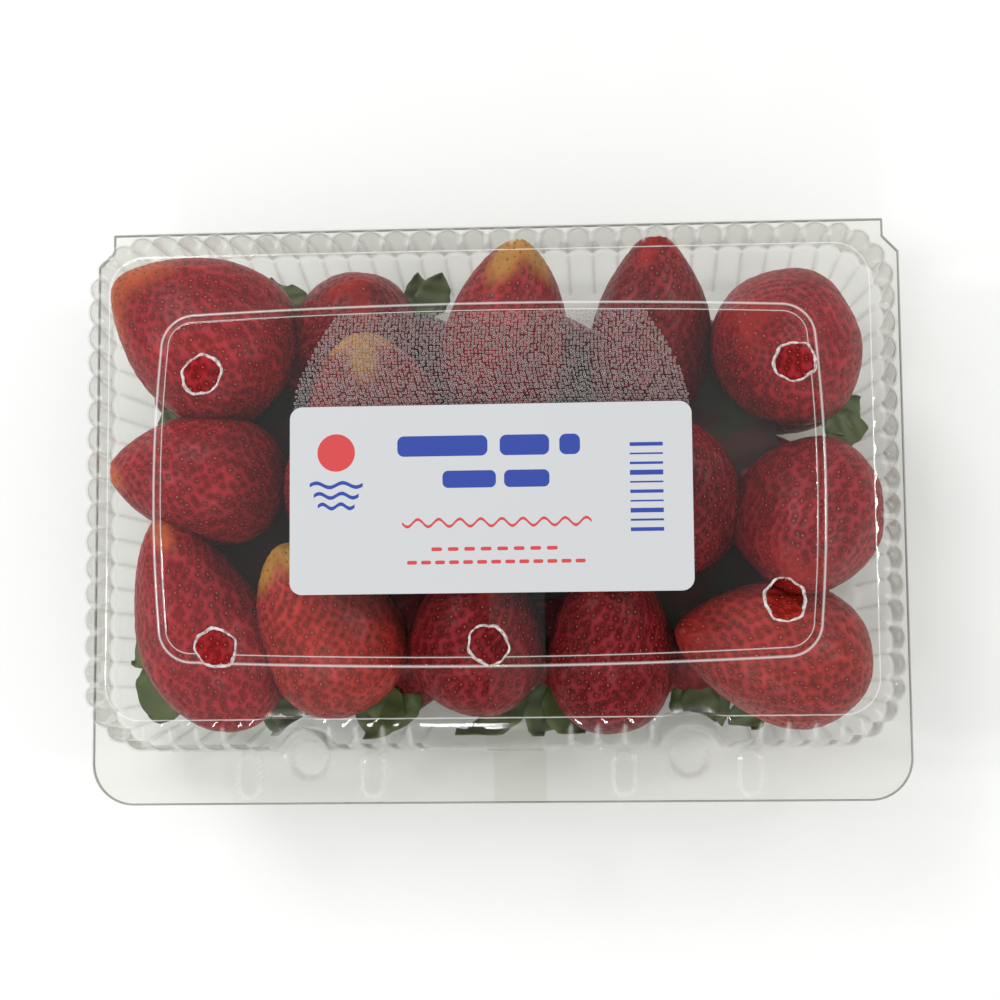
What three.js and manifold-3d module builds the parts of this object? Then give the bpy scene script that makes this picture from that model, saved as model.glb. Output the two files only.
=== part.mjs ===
// A punnet of large strawberries in a shut, clear, fluted clamshell pack.
// The pack is two thin formed shells, a tray and a domed lid, joined along the back edge.
// A paper label lies on the lid and a strip of clear tape closes the front.
// Millimetres, +Z up, front of the pack at -Y, origin under the middle of the flange.

import * as THREE from "three";
import { mergeVertices } from "three/addons/utils/BufferGeometryUtils.js";
import Module from "manifold-3d";

const wasm = await Module();
wasm.setup();

// Driving dimensions
const FLANGE_WIDTH = 213;
const FLANGE_DEPTH = 152;
const FLANGE_CORNER = 11;
const HINGE_HALF_WIDTH = 102.5;
const HINGE_EAR = 4.6;
const EAR_CHAMFER = 4.2;
const SKIN = 0.6;
const GAP = 0.3;

const WALL_HALF_WIDTH = 102.3;
const WALL_FRONT = -62.2;
const WALL_BACK = 69.4;
const WALL_CORNER = 17;
const FLUTE_PITCH = 6.5;
const FLUTE_DEPTH = 1.2;
const PLAIN_FRONT_HALF = 15;

const TRAY_HEIGHT = 28;
const FLOOR_INSET = 5.6;
const LID_SEAT = TRAY_HEIGHT + GAP;
const EDGE_RISE = 29.5;
const BROW_RISE = 33.6;
const SHOULDER_RISE = 36.6;
const DECK_RISE = 38.8;
const PANEL_RISE = 41;
const SHOULDER_INSET = 8.1;
const BROW_INSET = 2.6;

const PANEL_HALF_WIDTH = 79.2;
const PANEL_HALF_DEPTH = 41.6;
const PANEL_CORNER = 7;
const PANEL_CENTRE = 2.9;
const PANEL_BOW = 1.6;
const PANEL_STEP = 2;

const BUTTON_X = 49.4;
const BUTTON_Y = -64.6;
const BUTTON_RADIUS = 4.2;
const BUTTON_DEPTH = 3;
const NOTCH_FOOT_RADIUS = 8.4;
const NOTCH_BROW_RADIUS = 10;
const NOTCH_DEPTH = 5.4;

const RIB_PLACES = [-65, -32.5, 32.5, 65];
const RIB_Y = -68.3;
const RIB_WIDTH = 5.6;
const RIB_LENGTH = 12;
const RIB_HEIGHT = 1.1;

const VENT_RADIUS = 5;
const VENT_SIDES = 16;
const VENT_REACH = 3;
const VENTS = [[-70, 30.6], [75.3, 31.2], [-66.1, -36.6], [0.3, -36.6], [71.6, -26.6]];

const LABEL_WIDTH = 98;
const LABEL_DEPTH = 46;
const LABEL_X = 1.1;
const LABEL_Y = -1.1;
const LABEL_CORNER = 3;
const PAPER = 0.25;

const TAPE_WIDTH = 13.4;
const TAPE_X = 7.3;
const TAPE = 0.15;

const BERRY_GAP = 3;
const LOWER_INSET = 31;
const CORE_INSET = 29;
const CORE_HEIGHT = 32;
const CORE_CORNER = 12;
const LEAF_THICKNESS = 0.9;

const CLEAR = { roughness: 0.08, metalness: 0 };

// Stations round the wall: each has a place on the outline, the way out, and whether it is a valley
// between two flutes. The front stays plain in the middle and at the two latch recesses.
const wallCentreY = (WALL_FRONT + WALL_BACK) / 2;
const straightX = WALL_HALF_WIDTH - WALL_CORNER;
const straightY = (WALL_BACK - WALL_FRONT) / 2 - WALL_CORNER;

function isPlain(x, y) {
  const atFront = y < WALL_FRONT + 1;
  const atLatch = Math.abs(Math.abs(x) - BUTTON_X) < NOTCH_BROW_RADIUS;
  return atFront && (Math.abs(x) < PLAIN_FRONT_HALF || atLatch);
}

function addStations(stations, length, pointAt) {
  const flutes = Math.round(length / FLUTE_PITCH);
  for (let flute = 0; flute < flutes; flute += 1) {
    for (let third = 0; third < 3; third += 1) {
      const station = pointAt((flute + third / 3) / flutes);
      station.valley = third === 0 && !isPlain(station.x, station.y);
      stations.push(station);
    }
  }
}

function makeStations() {
  const stations = [];
  const quarters = [[1, -1], [1, 1], [-1, 1], [-1, -1]];
  quarters.forEach(([signX, signY], index) => {
    const start = Math.PI * (index / 2 - 0.5);
    addStations(stations, WALL_CORNER * Math.PI / 2, (u) => {
      const angle = start + u * Math.PI / 2;
      const nx = Math.cos(angle);
      const ny = Math.sin(angle);
      const x = signX * straightX + WALL_CORNER * nx;
      const y = wallCentreY + signY * straightY + WALL_CORNER * ny;
      return { x, y, nx, ny };
    });
    const [nextX, nextY] = quarters[(index + 1) % 4];
    const length = index % 2 === 0 ? 2 * straightY : 2 * straightX;
    const nx = Math.round(Math.cos(start + Math.PI / 2));
    const ny = Math.round(Math.sin(start + Math.PI / 2));
    addStations(stations, length, (u) => ({
      x: (signX + (nextX - signX) * u) * straightX + WALL_CORNER * nx,
      y: wallCentreY + (signY + (nextY - signY) * u) * straightY + WALL_CORNER * ny,
      nx,
      ny,
    }));
  });
  return stations;
}

const STATIONS = makeStations();

// How far the wall steps in round a latch button, as an arc about the button.
function notchInset(x, y, radius) {
  if (y > WALL_FRONT + 1) {
    return 0;
  }
  const across = Math.abs(Math.abs(x) - BUTTON_X);
  const reach = Math.sqrt(Math.max(0, radius * radius - across * across));
  return Math.max(0, reach - (radius - NOTCH_DEPTH));
}

// One level ring of the wall. The flute share is 1 at full depth and 0 where flutes have died out.
function wallRing(inset, z, fluteShare, notchRadius) {
  return STATIONS.map((station) => {
    const valley = station.valley ? FLUTE_DEPTH * fluteShare : 0;
    const notch = notchRadius ? notchInset(station.x, station.y, notchRadius) : 0;
    const move = inset + valley + notch;
    return [station.x - station.nx * move, station.y - station.ny * move, z];
  });
}

// The flange outline: round corners in front, chamfered ears beside the hinge at the back.
function flangeRing(z) {
  const halfX = FLANGE_WIDTH / 2;
  const halfY = FLANGE_DEPTH / 2;
  const side = [];
  for (let step = 0; step <= 6; step += 1) {
    const angle = -Math.PI / 2 + (step / 6) * Math.PI / 2;
    const x = halfX - FLANGE_CORNER + FLANGE_CORNER * Math.cos(angle);
    const y = -halfY + FLANGE_CORNER + FLANGE_CORNER * Math.sin(angle);
    side.push([x, y, z]);
  }
  side.push([halfX, halfY - HINGE_EAR - EAR_CHAMFER, z]);
  side.push([HINGE_HALF_WIDTH, halfY - HINGE_EAR, z]);
  side.push([HINGE_HALF_WIDTH, halfY, z]);
  const mirrored = side.map(([x, y]) => [-x, y, z]).reverse();
  return [...side, ...mirrored];
}

// The raised panel's outline: a round-cornered rectangle with its sides bowed out.
function panelRing(grow, z) {
  const ring = [];
  const steps = 8;
  const spanX = PANEL_HALF_WIDTH - PANEL_CORNER;
  const spanY = PANEL_HALF_DEPTH - PANEL_CORNER;
  const radius = PANEL_CORNER + grow;
  for (let quarter = 0; quarter < 4; quarter += 1) {
    const signX = quarter === 0 || quarter === 3 ? 1 : -1;
    const signY = quarter < 2 ? 1 : -1;
    for (let step = 0; step <= steps; step += 1) {
      const angle = (quarter + step / steps) * Math.PI / 2;
      const x = signX * spanX + radius * Math.cos(angle);
      const y = signY * spanY + radius * Math.sin(angle);
      ring.push([x, y + PANEL_CENTRE, z]);
    }
    const length = quarter % 2 === 0 ? spanX : spanY;
    for (let step = 1; step < 6; step += 1) {
      const along = 1 - step / 3;
      const bow = PANEL_BOW * (1 - along * along);
      const out = quarter === 0 || quarter === 3 ? 1 : -1;
      if (quarter % 2 === 0) {
        ring.push([out * along * length, out * (spanY + radius + bow) + PANEL_CENTRE, z]);
      } else {
        ring.push([out * (spanX + radius + bow), -out * along * length + PANEL_CENTRE, z]);
      }
    }
  }
  return ring;
}

// Joins a chain of rings, from a middle point out and back to another, into one closed skin.
// Rings with as many points as each other join point to point, and others by their way round.
function skinFromRings(topMiddle, rings, bottomMiddle) {
  const positions = [];
  const triangles = [];
  const add = (point) => positions.push(...point) / 3 - 1;
  const loops = rings.map((ring) => {
    const halfX = Math.max(...ring.map((point) => point[0]));
    const lowY = Math.min(...ring.map((point) => point[1]));
    const highY = Math.max(...ring.map((point) => point[1]));
    const turn = ([x, y]) => Math.atan2((2 * y - highY - lowY) / (highY - lowY), x / halfX);
    return ring.map((point) => ({ at: turn(point), index: add(point) }));
  });
  const fan = (middle, loop, up) => {
    const centre = add(middle);
    loop.forEach((item, i) => {
      const next = loop[(i + 1) % loop.length];
      triangles.push(centre, up ? item.index : next.index, up ? next.index : item.index);
    });
  };
  const ladder = (a, b) => {
    a.forEach((item, i) => {
      const next = (i + 1) % a.length;
      triangles.push(item.index, b[i].index, b[next].index);
      triangles.push(item.index, b[next].index, a[next].index);
    });
  };
  const fromLeft = (loop) => {
    const first = loop.reduce((best, item, i) => (item.at < loop[best].at ? i : best), 0);
    let reached = -Infinity;
    return [...loop.slice(first), ...loop.slice(0, first)].map(({ at, index }) => {
      reached = Math.max(reached, at);
      return { at: reached, index };
    });
  };
  const zip = (loopA, loopB) => {
    const a = fromLeft(loopA);
    const b = fromLeft(loopB);
    const at = (loop, k) => loop[k % loop.length].at + (k >= loop.length ? 2 * Math.PI : 0);
    let i = 0;
    let j = 0;
    while (i < a.length || j < b.length) {
      const stepA = i < a.length && (j >= b.length || at(a, i + 1) < at(b, j + 1));
      const from = a[i % a.length].index;
      const to = b[j % b.length].index;
      triangles.push(from, to, stepA ? a[(i + 1) % a.length].index : b[(j + 1) % b.length].index);
      i += stepA ? 1 : 0;
      j += stepA ? 0 : 1;
    }
  };
  fan(topMiddle, loops[0], true);
  for (let k = 0; k + 1 < loops.length; k += 1) {
    const join = loops[k].length === loops[k + 1].length ? ladder : zip;
    join(loops[k], loops[k + 1]);
  }
  fan(bottomMiddle, loops[loops.length - 1], false);
  const geometry = new THREE.BufferGeometry();
  geometry.setAttribute("position", new THREE.Float32BufferAttribute(positions, 3));
  geometry.setIndex(triangles);
  return geometry;
}

// Solids for cutting and joining
const WELD = 1e-3;
const SLIVER = 0.02;

function toSolid(geometry) {
  const bare = geometry.clone();
  bare.deleteAttribute("normal");
  bare.deleteAttribute("uv");
  const merged = mergeVertices(bare, WELD);
  const vertProperties = new Float32Array(merged.attributes.position.array);
  const triVerts = new Uint32Array(merged.index.array);
  return new wasm.Manifold(new wasm.Mesh({ numProp: 3, vertProperties, triVerts }));
}

function bareGeometry(solid) {
  const mesh = solid.getMesh();
  const geometry = new THREE.BufferGeometry();
  geometry.setAttribute("position", new THREE.BufferAttribute(mesh.vertProperties, 3));
  geometry.setIndex(new THREE.BufferAttribute(mesh.triVerts, 1));
  return geometry;
}

// The main body of a solid, without the slivers that a weld leaves along a cut.
function toGeometry(solid) {
  const bodies = toSolid(bareGeometry(solid.simplify(SLIVER))).decompose();
  bodies.sort((a, b) => b.volume() - a.volume());
  const geometry = bareGeometry(bodies[0]);
  geometry.computeVertexNormals();
  return geometry;
}

function roundBar(x, y, z0, z1, radius, sides = 20) {
  const geometry = new THREE.CylinderGeometry(radius, radius, z1 - z0, sides);
  geometry.rotateX(Math.PI / 2);
  geometry.translate(x, y, (z0 + z1) / 2);
  return toSolid(geometry);
}

function roundedPlate(width, depth, radius, thickness) {
  const shape = new THREE.Shape();
  const halfX = width / 2;
  const halfY = depth / 2;
  shape.moveTo(-halfX + radius, -halfY);
  shape.lineTo(halfX - radius, -halfY);
  shape.absarc(halfX - radius, -halfY + radius, radius, -Math.PI / 2, 0);
  shape.lineTo(halfX, halfY - radius);
  shape.absarc(halfX - radius, halfY - radius, radius, 0, Math.PI / 2);
  shape.lineTo(-halfX + radius, halfY);
  shape.absarc(-halfX + radius, halfY - radius, radius, Math.PI / 2, Math.PI);
  shape.lineTo(-halfX, -halfY + radius);
  shape.absarc(-halfX + radius, -halfY + radius, radius, Math.PI, 1.5 * Math.PI);
  return new THREE.ExtrudeGeometry(shape, { depth: thickness, bevelEnabled: false, curveSegments: 5 });
}

// The bar that melts a vent through the panel, or through the panel's step.
function ventBar(x, y) {
  const low = LID_SEAT + DECK_RISE - VENT_REACH;
  const high = LID_SEAT + PANEL_RISE + VENT_REACH;
  return roundBar(x, y, low, high, VENT_RADIUS, VENT_SIDES);
}

// One embossed bar of the front flange, with half-round ends.
function makeRib(x, z) {
  const shape = new THREE.Shape();
  const radius = RIB_WIDTH / 2;
  const reach = RIB_LENGTH / 2 - radius;
  shape.absarc(0, reach, radius, 0, Math.PI);
  shape.absarc(0, -reach, radius, Math.PI, 2 * Math.PI);
  const rib = new THREE.ExtrudeGeometry(shape, {
    depth: RIB_HEIGHT + SKIN / 2,
    bevelEnabled: false,
    curveSegments: 6,
  });
  rib.translate(x, RIB_Y, z);
  return toSolid(rib);
}

// The tray: a flat floor, a fluted wall that flares up, and a flange with two snap sockets.
function makeTray() {
  const footFlutes = 0.6;
  const rings = [
    wallRing(FLOOR_INSET + SKIN, SKIN, footFlutes, NOTCH_FOOT_RADIUS),
    wallRing(GAP + SKIN, TRAY_HEIGHT, 1, NOTCH_FOOT_RADIUS),
    flangeRing(TRAY_HEIGHT),
    flangeRing(TRAY_HEIGHT - SKIN),
    wallRing(GAP, TRAY_HEIGHT - SKIN, 1, NOTCH_FOOT_RADIUS),
    wallRing(FLOOR_INSET, 0, footFlutes, NOTCH_FOOT_RADIUS),
  ];
  let tray = toSolid(skinFromRings([0, wallCentreY, SKIN], rings, [0, wallCentreY, 0]));
  const socketRadius = BUTTON_RADIUS + GAP;
  const socketFloor = LID_SEAT - BUTTON_DEPTH - GAP;
  for (const side of [-1, 1]) {
    const x = side * BUTTON_X;
    tray = tray.add(roundBar(x, BUTTON_Y, socketFloor - SKIN, TRAY_HEIGHT, socketRadius + SKIN));
    tray = tray.subtract(roundBar(x, BUTTON_Y, socketFloor, LID_SEAT, socketRadius));
  }
  return toGeometry(tray);
}

// The lid: the wall runs up in flutes, bends over a sloping brow to the deck and the raised panel.
function makeLid() {
  const at = (rise) => LID_SEAT + rise;
  const rings = [
    panelRing(-PANEL_STEP / 2, at(PANEL_RISE)),
    panelRing(PANEL_STEP / 2, at(DECK_RISE)),
    wallRing(SHOULDER_INSET, at(SHOULDER_RISE), 0, 0),
    wallRing(BROW_INSET, at(BROW_RISE), 1.2, NOTCH_BROW_RADIUS),
    wallRing(SKIN / 2, at(EDGE_RISE), 1.2, NOTCH_BROW_RADIUS),
    wallRing(0, at(SKIN), 1, NOTCH_FOOT_RADIUS),
    flangeRing(at(SKIN)),
    flangeRing(at(0)),
    wallRing(SKIN, at(0), 1, NOTCH_FOOT_RADIUS),
    wallRing(SKIN * 1.5, at(EDGE_RISE), 1.2, NOTCH_BROW_RADIUS),
    wallRing(BROW_INSET + SKIN, at(BROW_RISE - SKIN), 1.2, NOTCH_BROW_RADIUS),
    wallRing(SHOULDER_INSET + SKIN / 2, at(SHOULDER_RISE - SKIN), 0, 0),
    panelRing(PANEL_STEP / 2 - SKIN / 2, at(DECK_RISE - SKIN)),
    panelRing(-PANEL_STEP / 2 - SKIN / 2, at(PANEL_RISE - SKIN)),
  ];
  const top = [0, PANEL_CENTRE, at(PANEL_RISE)];
  const underside = [0, PANEL_CENTRE, at(PANEL_RISE - SKIN)];
  let lid = toSolid(skinFromRings(top, rings, underside));
  for (const [x, y] of VENTS) {
    lid = lid.subtract(ventBar(x, y));
  }
  for (const side of [-1, 1]) {
    const x = side * BUTTON_X;
    lid = lid.add(roundBar(x, BUTTON_Y, at(-BUTTON_DEPTH), at(SKIN), BUTTON_RADIUS));
    const hollow = roundBar(x, BUTTON_Y, at(SKIN - BUTTON_DEPTH), at(1), BUTTON_RADIUS - SKIN);
    lid = lid.subtract(hollow);
  }
  for (const x of RIB_PLACES) {
    lid = lid.add(makeRib(x, at(SKIN / 2)));
  }
  return toGeometry(lid);
}

// The label: one sheet of paper on the raised panel.
function makeLabel() {
  const plate = roundedPlate(LABEL_WIDTH, LABEL_DEPTH, LABEL_CORNER, PAPER);
  plate.translate(LABEL_X, LABEL_Y, LID_SEAT + PANEL_RISE + GAP);
  return plate;
}

// The seal: clear tape from the label down the plain front wall and out over the flange.
function makeTape() {
  const panelEdge = PANEL_CENTRE - PANEL_HALF_DEPTH - PANEL_BOW;
  const at = (rise) => LID_SEAT + rise;
  const run = [
    [LABEL_Y - LABEL_DEPTH / 2 - GAP, at(PANEL_RISE)],
    [panelEdge + PANEL_STEP / 2, at(PANEL_RISE)],
    [panelEdge - PANEL_STEP / 2, at(DECK_RISE)],
    [WALL_FRONT + SHOULDER_INSET, at(SHOULDER_RISE)],
    [WALL_FRONT + BROW_INSET, at(BROW_RISE)],
    [WALL_FRONT + SKIN / 2, at(EDGE_RISE)],
    [WALL_FRONT, at(SKIN)],
    [-FLANGE_DEPTH / 2, at(SKIN)],
  ].map(([y, z]) => new THREE.Vector2(y, z));
  const lifted = (height) => run.map((point, i) => {
    const before = run[Math.max(i - 1, 0)];
    const after = run[Math.min(i + 1, run.length - 1)];
    const into = i > 0 ? point.clone().sub(before).normalize() : after.clone().sub(point).normalize();
    const out = i < run.length - 1 ? after.clone().sub(point).normalize() : into.clone();
    const mean = into.clone().add(out).normalize();
    const reach = height / mean.dot(into);
    return point.clone().add(new THREE.Vector2(mean.y, -mean.x).multiplyScalar(reach));
  });
  const outline = [...lifted(GAP), ...lifted(GAP + TAPE).reverse()];
  const strip = { depth: TAPE_WIDTH, bevelEnabled: false };
  const tape = new THREE.ExtrudeGeometry(new THREE.Shape(outline), strip);
  tape.applyMatrix4(new THREE.Matrix4().makeBasis(
    new THREE.Vector3(0, 1, 0),
    new THREE.Vector3(0, 0, 1),
    new THREE.Vector3(1, 0, 0),
  ));
  tape.translate(TAPE_X - TAPE_WIDTH / 2, 0, 0);
  const ventHoles = VENTS.map(([x, y]) => ventBar(x, y));
  return toGeometry(ventHoles.reduce((left, hole) => left.subtract(hole), toSolid(tape)));
}

// One strawberry: a lathe body with broad shoulders and a blunt tip, turned to where it points.
const BERRY_SHAPE = [[0, 0.42], [0.1, 0.8], [0.34, 1], [0.68, 0.78], [0.92, 0.36]];
const BERRY_SIDES = 9;
const BERRY_MIDDLE = 0.45;

function makeBerry({ x, y, z, heading, rise, length, width }) {
  const profile = [new THREE.Vector2(0, 0)];
  for (const [along, share] of BERRY_SHAPE) {
    profile.push(new THREE.Vector2(share * width / 2, along * length));
  }
  profile.push(new THREE.Vector2(0, length));
  const body = new THREE.LatheGeometry(profile, BERRY_SIDES);
  body.translate(0, -length * BERRY_MIDDLE, 0);
  const turn = THREE.MathUtils.degToRad(heading);
  const lift = THREE.MathUtils.degToRad(rise);
  const tip = new THREE.Vector3(
    Math.cos(turn) * Math.cos(lift),
    Math.sin(turn) * Math.cos(lift),
    Math.sin(lift),
  );
  body.applyQuaternion(new THREE.Quaternion().setFromUnitVectors(new THREE.Vector3(0, 1, 0), tip));
  body.translate(x, y, z);
  return toSolid(body);
}

// The upper berries, as they lie: middle, where the tip points, and size.
const UPPER_BERRIES = [
  { x: -74, y: 45, z: 40, heading: 145, rise: 8, length: 52, width: 43 },
  { x: -36, y: 46, z: 34, heading: 80, rise: 72, length: 46, width: 34 },
  { x: -31, y: 25, z: 34, heading: 95, rise: 50, length: 52, width: 36 },
  { x: 3, y: 43, z: 36, heading: 76, rise: 38, length: 56, width: 35 },
  { x: 41, y: 43, z: 36, heading: 82, rise: 38, length: 55, width: 33 },
  { x: 75, y: 41, z: 38, heading: 160, rise: 62, length: 48, width: 40 },
  { x: -74.5, y: 8, z: 42, heading: 175, rise: 2, length: 47, width: 35 },
  { x: -37, y: 3, z: 38, heading: 120, rise: 60, length: 48, width: 35 },
  { x: -3, y: 8, z: 37, heading: 30, rise: 65, length: 48, width: 36 },
  { x: 24, y: 2, z: 37, heading: 100, rise: 60, length: 48, width: 33 },
  { x: 47, y: 2, z: 39, heading: 95, rise: 45, length: 48, width: 34 },
  { x: 80, y: -4, z: 38, heading: 250, rise: 50, length: 50, width: 39 },
  { x: -74, y: -32.5, z: 38, heading: 110, rise: 18, length: 60, width: 35 },
  { x: -42.5, y: -32, z: 38, heading: 110, rise: 36, length: 51, width: 36 },
  { x: -5, y: -34, z: 37, heading: 85, rise: 50, length: 48, width: 35 },
  { x: 30, y: -37, z: 37, heading: 90, rise: 45, length: 53, width: 34 },
  { x: 73, y: -38, z: 37, heading: 165, rise: 25, length: 54, width: 38 },
];

// The berries beneath, in a ring along the tray wall, with small seeded differences.
function lowerBerries() {
  let seed = 11;
  const draw = () => {
    seed = (seed * 16807) % 2147483647;
    return seed / 2147483647;
  };
  const places = [];
  for (const x of [-56, -22, 14, 50]) {
    places.push([x, WALL_FRONT + LOWER_INSET], [x, WALL_BACK - LOWER_INSET]);
  }
  for (const y of [-28, 4, 36]) {
    places.push([-WALL_HALF_WIDTH + LOWER_INSET, y], [WALL_HALF_WIDTH - LOWER_INSET, y]);
  }
  return places.map(([x, y]) => ({
    x,
    y,
    z: 17.5 + 1.5 * draw(),
    heading: 360 * draw(),
    rise: 20 * draw() - 10,
    length: 38 + 4 * draw(),
    width: 31 + 2 * draw(),
  }));
}

// One leaf of a calyx: a thin wavy blade whose two faces are split alike.
function makeLeaf({ x, y, z, heading, length, width, fall }) {
  const steps = 4;
  const positions = [];
  const half = LEAF_THICKNESS / 2;
  for (let step = 0; step <= steps; step += 1) {
    const along = step / steps;
    const reach = width / 2 * Math.max(0.12, Math.sin(Math.PI * Math.pow(along, 0.8)));
    const height = -fall * along * along + 0.9 * Math.sin(along * 7);
    for (const [side, face] of [[-1, half], [0, half], [1, half], [-1, -half], [0, -half], [1, -half]]) {
      const crease = side === 0 ? -0.8 : 0;
      positions.push(along * length, side * reach, height + crease + face);
    }
  }
  const triangles = [];
  const quad = (a, b, c, d) => triangles.push(a, b, c, a, c, d);
  for (let step = 0; step < steps; step += 1) {
    const a = step * 6;
    const b = a + 6;
    quad(a, b, b + 1, a + 1);
    quad(a + 1, b + 1, b + 2, a + 2);
    quad(a + 4, b + 4, b + 3, a + 3);
    quad(a + 5, b + 5, b + 4, a + 4);
    quad(a + 3, b + 3, b, a);
    quad(a + 2, b + 2, b + 5, a + 5);
  }
  const last = steps * 6;
  quad(0, 1, 4, 3);
  quad(1, 2, 5, 4);
  quad(last + 3, last + 4, last + 1, last);
  quad(last + 4, last + 5, last + 2, last + 1);
  const blade = new THREE.BufferGeometry();
  blade.setAttribute("position", new THREE.Float32BufferAttribute(positions, 3));
  blade.setIndex(triangles);
  blade.rotateZ(THREE.MathUtils.degToRad(heading));
  blade.translate(x, y, z);
  return toSolid(blade);
}

// The leaves that reach out between the berries.
const LEAVES = [
  { x: -90, y: -30, z: 22, heading: 215, length: 17, width: 14, fall: 4 },
  { x: -86, y: -40, z: 19, heading: 250, length: 17, width: 14, fall: 3 },
  { x: -54, y: -46, z: 22, heading: 262, length: 16, width: 15, fall: 3 },
  { x: -28, y: -45, z: 25, heading: 262, length: 15, width: 15, fall: 3 },
  { x: 9, y: -48, z: 22, heading: 195, length: 24, width: 9, fall: 3 },
  { x: 15, y: -44, z: 22, heading: 275, length: 18, width: 14, fall: 3 },
  { x: 52, y: -44, z: 22, heading: 275, length: 16, width: 13, fall: 3 },
  { x: 64, y: -50, z: 18, heading: 285, length: 12, width: 10, fall: 2 },
  { x: 86, y: 20, z: 28, heading: 25, length: 14, width: 11, fall: 2 },
  { x: -81, y: 26, z: 26, heading: 180, length: 12, width: 10, fall: 2 },
  { x: -55, y: 52, z: 28, heading: 95, length: 12, width: 11, fall: 2 },
  { x: -19, y: 52, z: 28, heading: 80, length: 12, width: 11, fall: 2 },
];

// The space that the berries may fill: the shells' inside, less a small gap.
function makeRoom() {
  const rings = [
    wallRing(8.5, 61.5, 0, NOTCH_BROW_RADIUS),
    wallRing(BERRY_GAP, 55, 0, NOTCH_BROW_RADIUS),
    wallRing(BERRY_GAP, TRAY_HEIGHT, 0, NOTCH_BROW_RADIUS),
    wallRing(FLOOR_INSET + BERRY_GAP, SKIN + GAP, 0, NOTCH_BROW_RADIUS),
  ];
  return toSolid(skinFromRings([0, PANEL_CENTRE, 63.6], rings, [0, wallCentreY, SKIN + GAP]));
}

// The middle of the heap, hidden under the berries.
function makeCore() {
  const width = 2 * (WALL_HALF_WIDTH - CORE_INSET);
  const depth = WALL_BACK - WALL_FRONT - 2 * CORE_INSET;
  const core = roundedPlate(width, depth, CORE_CORNER, CORE_HEIGHT);
  core.translate(0, wallCentreY, SKIN + GAP);
  return toSolid(core);
}

function makeHeap() {
  const berries = [...UPPER_BERRIES, ...lowerBerries()].map(makeBerry);
  const heap = [...berries, ...LEAVES.map(makeLeaf)].reduce((sum, piece) => sum.add(piece), makeCore());
  return toGeometry(heap.intersect(makeRoom()));
}

function part(name, geometry, material) {
  const mesh = new THREE.Mesh(geometry, new THREE.MeshStandardMaterial(material));
  mesh.name = name;
  return mesh;
}

const punnet = new THREE.Group();
punnet.add(part("tray", makeTray(), { ...CLEAR, color: 0xe8eeee, transparent: true, opacity: 0.3 }));
punnet.add(part("lid", makeLid(), { ...CLEAR, color: 0xeef3f3, transparent: true, opacity: 0.3 }));
punnet.add(part("seal_tape", makeTape(), { ...CLEAR, color: 0xf0eee0, transparent: true, opacity: 0.3 }));
punnet.add(part("strawberries", makeHeap(), { color: 0xa3202a, roughness: 0.4, metalness: 0 }));
punnet.add(part("label", makeLabel(), { color: 0xf4f5f8, roughness: 0.45, metalness: 0 }));

export default punnet;
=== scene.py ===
# A clear clamshell punnet of large strawberries, seen from above on a white table.
import math

import bmesh
import bpy
import numpy as np
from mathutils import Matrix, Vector, kdtree


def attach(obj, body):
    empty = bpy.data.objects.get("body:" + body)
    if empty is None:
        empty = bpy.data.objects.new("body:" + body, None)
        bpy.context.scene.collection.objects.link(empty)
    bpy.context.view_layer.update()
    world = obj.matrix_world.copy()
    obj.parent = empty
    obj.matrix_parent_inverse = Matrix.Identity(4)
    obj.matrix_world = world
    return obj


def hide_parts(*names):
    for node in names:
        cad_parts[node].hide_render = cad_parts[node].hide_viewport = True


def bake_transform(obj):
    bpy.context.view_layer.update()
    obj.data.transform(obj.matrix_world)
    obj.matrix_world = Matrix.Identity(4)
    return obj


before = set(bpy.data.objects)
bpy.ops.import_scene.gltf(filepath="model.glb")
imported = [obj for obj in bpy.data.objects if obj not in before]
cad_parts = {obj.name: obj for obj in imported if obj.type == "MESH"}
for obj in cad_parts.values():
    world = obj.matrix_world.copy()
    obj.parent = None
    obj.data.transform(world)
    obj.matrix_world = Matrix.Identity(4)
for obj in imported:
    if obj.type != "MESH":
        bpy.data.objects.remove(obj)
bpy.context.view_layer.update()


# Camera
# The pack is seen from above, from a little in front and to the right of its middle.
# Place, tilt and lens come from a pinhole camera fitted to the flange, wall and lid outlines.
camera = bpy.data.objects.new("camera", bpy.data.cameras.new("camera"))
bpy.context.collection.objects.link(camera)
camera.location = (0.0326, -0.0547, 0.5629)
camera.rotation_mode = "ZYX"
camera.rotation_euler = [math.radians(angle) for angle in (6.143, 3.363, -0.852)]
camera.data.sensor_width = 36
camera.data.lens = 73.8
camera.data.clip_start = 0.01
bpy.context.scene.camera = camera
bpy.context.scene.view_settings.view_transform = "Standard"


# Table and light
# A white table top in a pale room, which gives most of the light, so the shadows are soft. Four
# small lamps put glints on the flutes. Light may cross many faces of the clear shells.
def linear(code):
    """The linear colour, with alpha 1, of an sRGB hex value such as "#c02030"."""
    values = [int(code[i:i + 2], 16) / 255 for i in (1, 3, 5)]
    return [v / 12.92 if v <= 0.04045 else ((v + 0.055) / 1.055) ** 2.4 for v in values] + [1.0]


def add(tree, kind, inputs=None, **settings):
    """Adds a shader node, with its settings, and its inputs as values or as links."""
    made = tree.nodes.new("ShaderNode" + kind)
    for name, value in settings.items():
        setattr(made, name, value)
    for name, value in (inputs or {}).items():
        if isinstance(value, bpy.types.NodeSocket):
            tree.links.new(value, made.inputs[name])
        else:
            made.inputs[name].default_value = value
    return made


def new_material(name):
    """An empty node material and its tree, with the output node as "out"."""
    material = bpy.data.materials.new(name)
    material.use_nodes = True
    material.node_tree.nodes.clear()
    material.node_tree.nodes.new("ShaderNodeOutputMaterial").name = "out"
    return material, material.node_tree


def finish_material(tree, shader):
    tree.links.new(shader, tree.nodes["out"].inputs["Surface"])


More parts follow.
